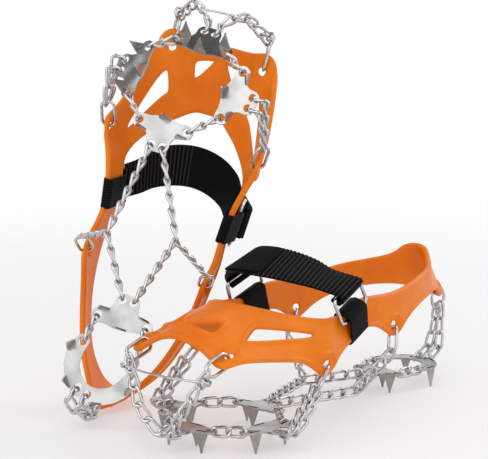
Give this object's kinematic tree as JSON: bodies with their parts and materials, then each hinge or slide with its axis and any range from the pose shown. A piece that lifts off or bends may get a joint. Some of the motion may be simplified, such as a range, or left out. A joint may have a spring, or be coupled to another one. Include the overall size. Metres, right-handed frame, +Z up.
{
  "type": "shoe ice cleats",
  "caption": "Pair of pull-on shoe ice cleats: orange elastic harness with tabs, black instep strap in rings, steel chains and toothed plates; one stands, one is tipped on its heel.",
  "frame": {"origin": "centre of the bounding box's base, on the floor", "axes": "+Z up, -Y toward the toe of the standing cleat, +X to its outer side"},
  "size_m": [0.2232, 0.3184, 0.2856],
  "materials": {
    "orange_elastomer": "semi-gloss moulded",
    "black_webbing": "matt, partly ribbed",
    "plate_steel": "satin",
    "chain_steel": "bright"
  },
  "bodies": {
    "left_cleat": {"left_harness": "orange_elastomer", "left_toe_chain_outer": "chain_steel", "left_side_chain_outer": "chain_steel", "left_mid_chain_outer": "chain_steel", "left_toe_chain_inner": "chain_steel", "left_side_chain_inner": "chain_steel", "left_mid_chain_inner": "chain_steel", "left_heel_tab_chain": "chain_steel", "left_instep_strap": "black_webbing", "left_keeper_outer": "black_webbing", "left_keeper_inner": "black_webbing"},
    "left_toe_plate": {"left_toe_plate": "plate_steel"},
    "left_arch_plate": {"left_arch_plate": "plate_steel"},
    "left_heel_front_plate": {"left_heel_front_plate": "plate_steel"},
    "left_ball_plate_outer": {"left_ball_plate_outer": "plate_steel"},
    "left_ball_plate_inner": {"left_ball_plate_inner": "plate_steel"},
    "left_heel_rear_plate": {"left_heel_rear_plate": "plate_steel"},
    "left_front_chain_outer": {"left_front_chain_outer": "chain_steel"},
    "left_ball_chain_outer": {"left_ball_chain_outer": "chain_steel"},
    "left_heel_chain_outer": {"left_heel_chain_outer": "chain_steel"},
    "left_front_chain_inner": {"left_front_chain_inner": "chain_steel"},
    "left_ball_chain_inner": {"left_ball_chain_inner": "chain_steel"},
    "left_heel_chain_inner": {"left_heel_chain_inner": "chain_steel"},
    "left_toe_wire": {"left_toe_wire": "chain_steel"},
    "left_heel_ring": {"left_heel_ring": "chain_steel"},
    "left_strap_flap": {"left_strap_flap": "black_webbing"},
    "left_strap_ring_outer": {"left_strap_ring_outer": "chain_steel"},
    "left_strap_ring_inner": {"left_strap_ring_inner": "chain_steel"},
    "right_cleat": {"right_harness": "orange_elastomer", "right_toe_chain_inner": "chain_steel", "right_side_chain_inner": "chain_steel", "right_mid_chain_inner": "chain_steel", "right_toe_chain_outer": "chain_steel", "right_side_chain_outer": "chain_steel", "right_mid_chain_outer": "chain_steel", "right_heel_tab_chain": "chain_steel", "right_instep_strap": "black_webbing", "right_keeper_inner": "black_webbing", "right_keeper_outer": "black_webbing"},
    "right_toe_plate": {"right_toe_plate": "plate_steel"},
    "right_arch_plate": {"right_arch_plate": "plate_steel"},
    "right_heel_front_plate": {"right_heel_front_plate": "plate_steel"},
    "right_ball_plate_inner": {"right_ball_plate_inner": "plate_steel"},
    "right_ball_plate_outer": {"right_ball_plate_outer": "plate_steel"},
    "right_heel_rear_plate": {"right_heel_rear_plate": "plate_steel"},
    "right_front_chain_inner": {"right_front_chain_inner": "chain_steel"},
    "right_ball_chain_inner": {"right_ball_chain_inner": "chain_steel"},
    "right_heel_chain_inner": {"right_heel_chain_inner": "chain_steel"},
    "right_front_chain_outer": {"right_front_chain_outer": "chain_steel"},
    "right_ball_chain_outer": {"right_ball_chain_outer": "chain_steel"},
    "right_heel_chain_outer": {"right_heel_chain_outer": "chain_steel"},
    "right_toe_wire": {"right_toe_wire": "chain_steel"},
    "right_heel_ring": {"right_heel_ring": "chain_steel"},
    "right_strap_flap": {"right_strap_flap": "black_webbing"},
    "right_strap_ring_inner": {"right_strap_ring_inner": "chain_steel"},
    "right_strap_ring_outer": {"right_strap_ring_outer": "chain_steel"}
  },
  "joints": [
    {"name": "left_toe_plate_rock", "type": "hinge", "parent": "left_cleat", "child": "left_toe_plate", "pos_m": [0.04755, -0.13278, 0.01375], "axis": [-1, 0, 0], "range_deg": [-3, 3]},
    {"name": "left_arch_plate_rock", "type": "hinge", "parent": "left_cleat", "child": "left_arch_plate", "pos_m": [0.04755, -0.05278, 0.01375], "axis": [1, 0, 0], "range_deg": [-3, 3]},
    {"name": "left_heel_front_plate_rock", "type": "hinge", "parent": "left_cleat", "child": "left_heel_front_plate", "pos_m": [0.04755, 0.06822, 0.01375], "axis": [-1, 0, 0], "range_deg": [-3, 3]},
    {"name": "left_ball_plate_outer_rock", "type": "hinge", "parent": "left_cleat", "child": "left_ball_plate_outer", "pos_m": [0.09055, -0.09478, 0.01375], "axis": [0, -1, 0], "range_deg": [-3, 3]},
    {"name": "left_ball_plate_inner_rock", "type": "hinge", "parent": "left_cleat", "child": "left_ball_plate_inner", "pos_m": [0.00455, -0.09478, 0.01375], "axis": [0, 1, 0], "range_deg": [-3, 3]},
    {"name": "left_heel_rear_plate_rock", "type": "hinge", "parent": "left_cleat", "child": "left_heel_rear_plate", "pos_m": [0.04755, 0.11222, 0.01375], "axis": [1, 0, 0], "range_deg": [-2, 2]},
    {"name": "left_front_chain_outer_sway", "type": "hinge", "parent": "left_cleat", "child": "left_front_chain_outer", "pos_m": [0.07415, -0.11888, 0.01375], "axis": [0.8061, 0.5917, 0], "range_deg": [-5, 5]},
    {"name": "left_ball_chain_outer_sway", "type": "hinge", "parent": "left_cleat", "child": "left_ball_chain_outer", "pos_m": [0.07415, -0.06868, 0.01375], "axis": [-0.7262, 0.6875, 0], "range_deg": [-5, 5]},
    {"name": "left_heel_chain_outer_sway", "type": "hinge", "parent": "left_cleat", "child": "left_heel_chain_outer", "pos_m": [0.06665, 0.08722, 0.01375], "axis": [0.1564, 0.9877, 0], "range_deg": [-5, 5]},
    {"name": "left_front_chain_inner_sway", "type": "hinge", "parent": "left_cleat", "child": "left_front_chain_inner", "pos_m": [0.02095, -0.11888, 0.01375], "axis": [-0.8061, 0.5917, 0], "range_deg": [-5, 5]},
    {"name": "left_ball_chain_inner_sway", "type": "hinge", "parent": "left_cleat", "child": "left_ball_chain_inner", "pos_m": [0.02095, -0.06868, 0.01375], "axis": [0.7262, 0.6875, 0], "range_deg": [-5, 5]},
    {"name": "left_heel_chain_inner_sway", "type": "hinge", "parent": "left_cleat", "child": "left_heel_chain_inner", "pos_m": [0.02845, 0.08722, 0.01375], "axis": [-0.1564, 0.9877, 0], "range_deg": [-5, 5]},
    {"name": "left_toe_wire_twist", "type": "hinge", "parent": "left_cleat", "child": "left_toe_wire", "pos_m": [0.05018, -0.14996, 0.05536], "axis": [-0.9989, 0.0255, 0.0392], "range_deg": [-6, 6]},
    {"name": "left_heel_ring_swing", "type": "hinge", "parent": "left_cleat", "child": "left_heel_ring", "pos_m": [0.04755, 0.14758, 0.06427], "axis": [1, 0, 0], "range_deg": [-5, 5]},
    {"name": "left_strap_flap_peel", "type": "hinge", "parent": "left_cleat", "child": "left_strap_flap", "pos_m": [0.00168, -0.02356, 0.0946], "axis": [-0.0901, -0.9205, -0.3802], "range_deg": [0, 65]},
    {"name": "left_strap_ring_outer_swing", "type": "hinge", "parent": "left_cleat", "child": "left_strap_ring_outer", "pos_m": [0.09568, -0.0164, 0.0778], "axis": [-0.0901, 0.9205, 0.3802], "range_deg": [-3.5, 3.5]},
    {"name": "left_strap_ring_inner_swing", "type": "hinge", "parent": "left_cleat", "child": "left_strap_ring_inner", "pos_m": [-0.00059, -0.0164, 0.0778], "axis": [0.0901, 0.9205, 0.3802], "range_deg": [-3.5, 3.5]},
    {"name": "right_toe_plate_rock", "type": "hinge", "parent": "right_cleat", "child": "right_toe_plate", "pos_m": [-0.02015, -0.03685, 0.25665], "axis": [-0.8553, -0.4444, 0.2663], "range_deg": [-3, 3]},
    {"name": "right_arch_plate_rock", "type": "hinge", "parent": "right_cleat", "child": "right_arch_plate", "pos_m": [-0.02969, -0.07323, 0.19275], "axis": [0.8564, 0.4515, -0.2504], "range_deg": [-3, 3]},
    {"name": "right_heel_front_plate_rock", "type": "hinge", "parent": "right_cleat", "child": "right_heel_front_plate", "pos_m": [-0.02266, -0.11515, 0.07783], "axis": [-0.8572, -0.4585, 0.2344], "range_deg": [-3, 3]},
    {"name": "right_ball_plate_inner_rock", "type": "hinge", "parent": "right_cleat", "child": "right_ball_plate_inner", "pos_m": [0.01178, -0.03653, 0.21735], "axis": [0.1727, 0.4629, 0.8694], "range_deg": [-3, 3]},
    {"name": "right_ball_plate_outer_rock", "type": "hinge", "parent": "right_cleat", "child": "right_ball_plate_outer", "pos_m": [-0.05969, -0.07062, 0.2379], "axis": [-0.1432, -0.449, -0.882], "range_deg": [-3, 3]},
    {"name": "right_heel_rear_plate_rock", "type": "hinge", "parent": "right_cleat", "child": "right_heel_rear_plate", "pos_m": [-0.03017, -0.13665, 0.03662], "axis": [0.7863, 0.2861, -0.5476], "range_deg": [-2, 2]},
    {"name": "right_front_chain_inner_sway", "type": "hinge", "parent": "right_cleat", "child": "right_front_chain_inner", "pos_m": [0.0026, -0.03308, 0.24159], "axis": [0.6706, 0.1922, -0.7165], "range_deg": [-5, 5]},
    {"name": "right_ball_chain_inner_sway", "type": "hinge", "parent": "right_cleat", "child": "right_ball_chain_inner", "pos_m": [-0.00583, -0.05493, 0.19993], "axis": [-0.6879, -0.6057, -0.3999], "range_deg": [-5, 5]},
    {"name": "right_heel_chain_inner_sway", "type": "hinge", "parent": "right_cleat", "child": "right_heel_chain_inner", "pos_m": [-0.00869, -0.11686, 0.05127], "axis": [-0.0286, -0.3904, -0.9202], "range_deg": [-5, 5]},
    {"name": "right_front_chain_outer_sway", "type": "hinge", "parent": "right_cleat", "child": "right_front_chain_outer", "pos_m": [-0.04166, -0.05689, 0.25487], "axis": [-0.7643, -0.6031, -0.2284], "range_deg": [-5, 5]},
    {"name": "right_ball_chain_outer_sway", "type": "hinge", "parent": "right_cleat", "child": "right_ball_chain_outer", "pos_m": [-0.0496, -0.07858, 0.21268], "axis": [0.5144, 0.0398, -0.8566], "range_deg": [-5, 5]},
    {"name": "right_heel_chain_outer_sway", "type": "hinge", "parent": "right_cleat", "child": "right_heel_chain_outer", "pos_m": [-0.03994, -0.13076, 0.0668], "axis": [-0.2222, -0.4852, -0.8457], "range_deg": [-5, 5]},
    {"name": "right_toe_wire_twist", "type": "hinge", "parent": "right_cleat", "child": "right_toe_wire", "pos_m": [-0.03883, 0.00154, 0.26657], "axis": [-0.8431, -0.4911, 0.2193], "range_deg": [-6, 6]},
    {"name": "right_heel_ring_swing", "type": "hinge", "parent": "right_cleat", "child": "right_heel_ring", "pos_m": [-0.05629, -0.10738, 0.00625], "axis": [0.8564, 0.4515, -0.2504], "range_deg": [-5, 5]},
    {"name": "right_strap_flap_peel", "type": "hinge", "parent": "right_cleat", "child": "right_strap_flap", "pos_m": [-0.02623, 0.00383, 0.12646], "axis": [-0.322, -0.11, -0.9403], "range_deg": [0, 120]},
    {"name": "right_strap_ring_inner_swing", "type": "hinge", "parent": "right_cleat", "child": "right_strap_ring_inner", "pos_m": [-0.01605, -0.0114, 0.12475], "axis": [-0.322, -0.11, -0.9403], "range_deg": [-3.5, 3.5]},
    {"name": "right_strap_ring_outer_swing", "type": "hinge", "parent": "right_cleat", "child": "right_strap_ring_outer", "pos_m": [-0.09849, -0.05487, 0.14886], "axis": [-0.1678, -0.0287, -0.9854], "range_deg": [-3.5, 3.5]},
    {"name": "right_cleat_lift", "type": "slide", "parent": "left_cleat", "child": "right_cleat", "axis": [0, 0, 1], "range_m": [0, 0.3]}
  ]
}
